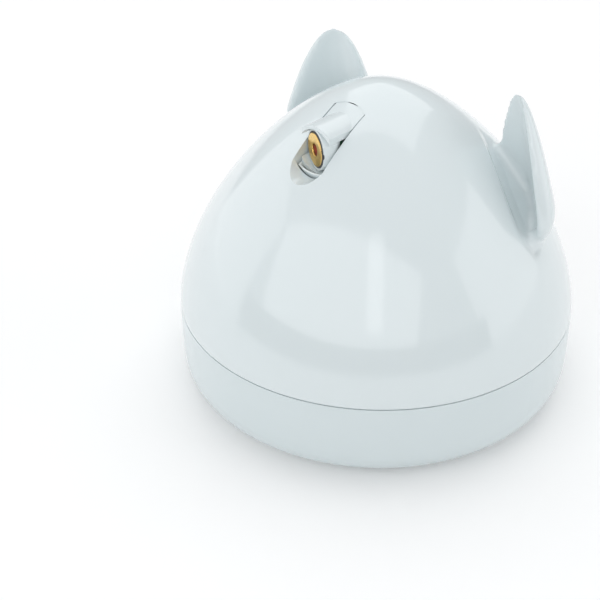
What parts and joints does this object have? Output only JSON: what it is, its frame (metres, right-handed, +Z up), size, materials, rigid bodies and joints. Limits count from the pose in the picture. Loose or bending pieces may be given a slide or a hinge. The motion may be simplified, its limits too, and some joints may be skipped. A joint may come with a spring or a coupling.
{
  "type": "automatic cat laser toy",
  "caption": "Egg-shaped automatic laser toy for cats, with cupped ears, a laser that swivels in a nodding barrel, a rear power button and a battery bay underneath.",
  "frame": {"origin": "on the floor at the middle of the feet, on the axis of the round housing", "axes": "-Y is the front, where the laser points; +X is the object's left; +Z is up"},
  "size_m": [0.12, 0.12, 0.0979],
  "materials": {
    "dome_plastic": "gloss",
    "base_plastic": "satin",
    "barrel_plastic": "gloss",
    "button_plastic": "satin",
    "frame_plastic": "matte",
    "gear_plastic": "satin",
    "steel": "satin",
    "motor_case": "satin",
    "brass": "polished",
    "bush_plastic": "matte",
    "rubber": "matte",
    "cell_wrap": "gloss",
    "board": "satin",
    "switch_plastic": "matte",
    "lens_glass": "polished"
  },
  "bodies": {
    "case": {"top_shell": "dome_plastic", "base_shell": "base_plastic", "batteries": "cell_wrap", "battery_contacts": "steel", "rubber_feet": "rubber", "case_screws": "steel", "frame_left": "frame_plastic", "frame_right": "frame_plastic", "gear_cover": "frame_plastic", "frame_screws": "steel", "mount_screws": "steel", "tilt_motor": "motor_case", "gear_axles": "steel", "trunnion_bushes": "bush_plastic", "circuit_board": "board", "tact_switch": "switch_plastic", "board_screws": "steel"},
    "barrel": {"laser_barrel": "barrel_plastic", "tilt_sector": "gear_plastic", "pan_motor": "motor_case"},
    "ball": {"laser_ball": "barrel_plastic", "laser_module": "brass", "laser_lens": "lens_glass", "laser_driver": "board", "pan_sector": "gear_plastic"},
    "pan_rotor": {"pan_pinion": "brass"},
    "second_gear": {"second_gear": "gear_plastic"},
    "first_gear": {"first_gear": "gear_plastic"},
    "motor_rotor": {"motor_shaft": "steel", "motor_pinion": "brass"},
    "button": {"power_button": "button_plastic", "switch_plunger": "switch_plastic"},
    "door": {"battery_door": "base_plastic", "door_screw": "steel"}
  },
  "joints": [
    {"name": "laser_tilt", "type": "hinge", "parent": "case", "child": "barrel", "pos_m": [0, -0.0155, 0.0836], "axis": [1, 0, 0], "range_deg": [-8, 20]},
    {"name": "laser_pan", "type": "hinge", "parent": "barrel", "child": "ball", "pos_m": [0, -0.0237, 0.0836], "axis": [0, 0, 1], "range_deg": [-3, 47]},
    {"name": "pan_pinion_turn", "type": "hinge", "parent": "barrel", "child": "pan_rotor", "pos_m": [0, -0.0137, 0.0836], "axis": [0, 0, 1], "range_deg": [-141, 9]},
    {"name": "second_gear_turn", "type": "hinge", "parent": "case", "child": "second_gear", "pos_m": [0, -0.00277, 0.06843], "axis": [1, 0, 0], "range_deg": [-112, 44.8]},
    {"name": "first_gear_turn", "type": "hinge", "parent": "case", "child": "first_gear", "pos_m": [0, 0.00498, 0.0585], "axis": [1, 0, 0], "range_deg": [-143.36, 358.4]},
    {"name": "motor_turn", "type": "hinge", "parent": "case", "child": "motor_rotor", "pos_m": [0, -0.0035, 0.04839], "axis": [1, 0, 0], "range_deg": [-1612.8, 645.12]},
    {"name": "button_press", "type": "slide", "parent": "case", "child": "button", "axis": [0, -0.9135, -0.4067], "range_m": [0, 0.001], "stiffness_N_per_m": 800},
    {"name": "door_open", "type": "hinge", "parent": "case", "child": "door", "pos_m": [0, 0.0296, 0.0022], "axis": [1, 0, 0], "range_deg": [0, 95]}
  ],
  "couplings": [
    {"joint": "second_gear_turn", "follows": "laser_tilt", "ratio": -5.6},
    {"joint": "first_gear_turn", "follows": "laser_tilt", "ratio": 17.92},
    {"joint": "motor_turn", "follows": "laser_tilt", "ratio": -80.64},
    {"joint": "pan_pinion_turn", "follows": "laser_pan", "ratio": -3}
  ]
}
